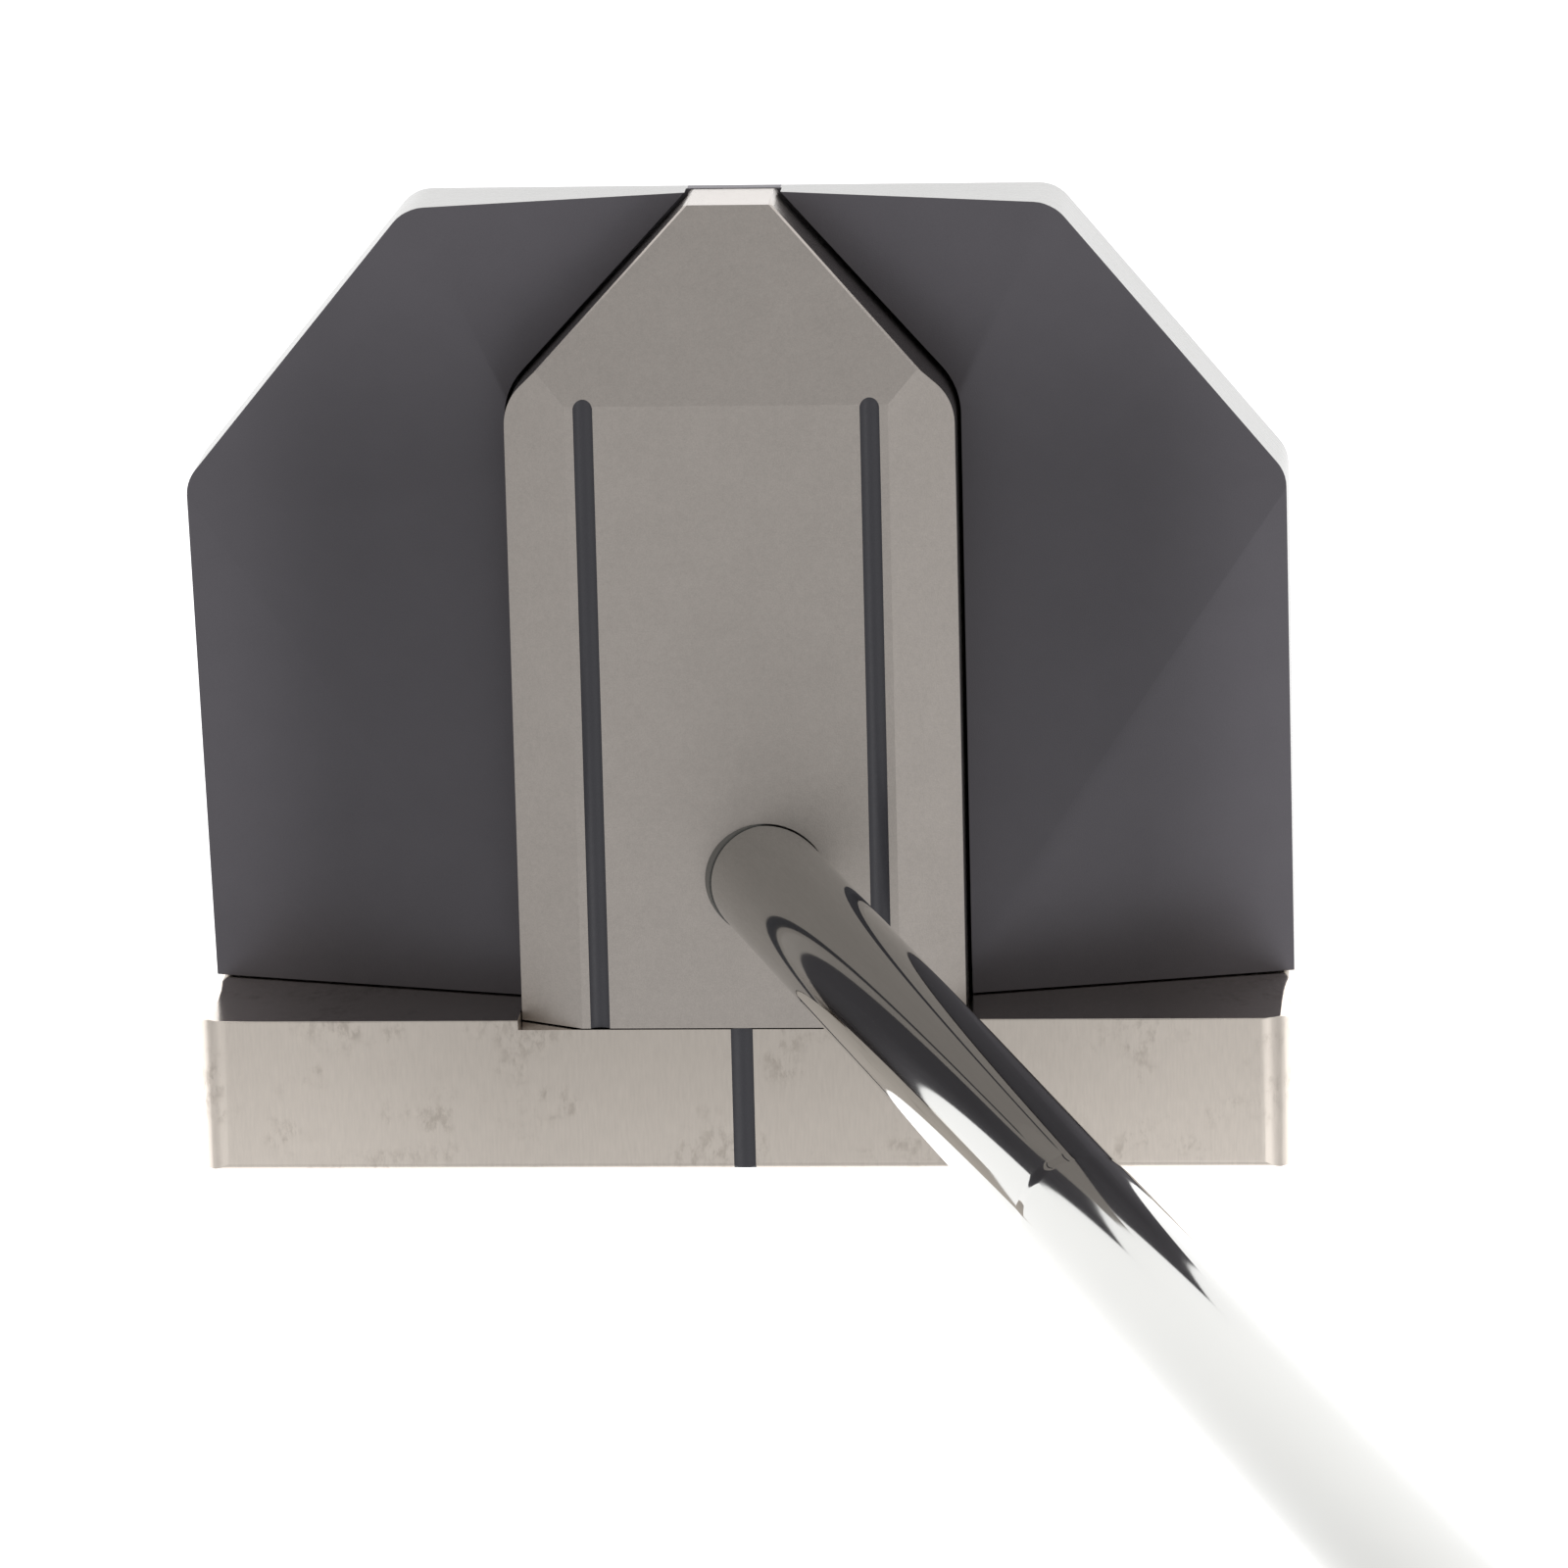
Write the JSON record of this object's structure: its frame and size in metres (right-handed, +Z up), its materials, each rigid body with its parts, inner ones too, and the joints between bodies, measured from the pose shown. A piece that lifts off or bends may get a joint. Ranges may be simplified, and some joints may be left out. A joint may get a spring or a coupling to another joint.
{
  "type": "mallet putter",
  "caption": "Golf putter with a faceted mallet head, steel face bar, raised spine with sight lines, leaning stepped shaft and pistol grip.",
  "frame": {"origin": "on the sole, on the ground plane under the middle of the head's depth and width, with the putter soled at address", "axes": "+Z up, -Y the way the face looks (towards the target line's ball side), +X towards the heel, to which the shaft leans"},
  "size_m": [0.3273, 0.0816, 0.8266],
  "materials": {
    "face_steel": "stainless steel brushed front to back",
    "spine_aluminium": "fine bead-blasted, warm grey",
    "wing_aluminium": "black anodised over a fine blast, outer walls skimmed bare",
    "sole_aluminium": "black anodised",
    "screw_steel": "blackened steel",
    "pin_steel": "ground steel",
    "weight_steel": "turned stainless steel",
    "seal_rubber": "matt black",
    "line_paint": "black paint fill",
    "shaft_chrome": "polished chrome plate on stepped steel tube",
    "bond": "cured epoxy",
    "tip_brass": "turned brass",
    "tape": "paper grip tape",
    "grip_foam": "closed-cell under-sleeve",
    "grip_rubber": "fine-textured moulded rubber",
    "cap_rubber": "smooth moulded rubber"
  },
  "bodies": {
    "head": {"face_bar": "face_steel", "sight_line_bar": "line_paint", "wing_body": "wing_aluminium", "spine": "spine_aluminium", "sight_line_heel": "line_paint", "sight_line_toe": "line_paint", "sole_plate": "sole_aluminium", "sole_plate_screws": "screw_steel", "spine_screws": "screw_steel", "bar_screws": "screw_steel", "dowel_pins": "pin_steel", "shaft": "shaft_chrome", "shaft_bond": "bond", "shaft_tip_weight": "tip_brass", "grip_tape": "tape", "grip_core": "grip_foam", "grip_skin": "grip_rubber", "grip_cap": "cap_rubber"},
    "heel_ring": {"heel_weight_ring": "seal_rubber"},
    "heel_screw": {"heel_weight": "weight_steel"},
    "toe_ring": {"toe_weight_ring": "seal_rubber"},
    "toe_screw": {"toe_weight": "weight_steel"}
  },
  "joints": [
    {"name": "heel_weight_travel", "type": "slide", "parent": "head", "child": "heel_ring", "axis": [0, 0, -1], "range_m": [0, 0.006]},
    {"name": "heel_weight_turn", "type": "hinge", "parent": "heel_ring", "child": "heel_screw", "pos_m": [0.036, -0.0336, 0.0022], "axis": [0, 0, -1], "range_deg": [0, 2160.01]},
    {"name": "toe_weight_travel", "type": "slide", "parent": "head", "child": "toe_ring", "axis": [0, 0, -1], "range_m": [0, 0.006]},
    {"name": "toe_weight_turn", "type": "hinge", "parent": "toe_ring", "child": "toe_screw", "pos_m": [-0.036, -0.0336, 0.0022], "axis": [0, 0, -1], "range_deg": [0, 2160.01]}
  ],
  "couplings": [
    {"joint": "heel_weight_turn", "follows": "heel_weight_travel", "rad_per_m": 6283.2},
    {"joint": "toe_weight_turn", "follows": "toe_weight_travel", "rad_per_m": 6283.2}
  ]
}
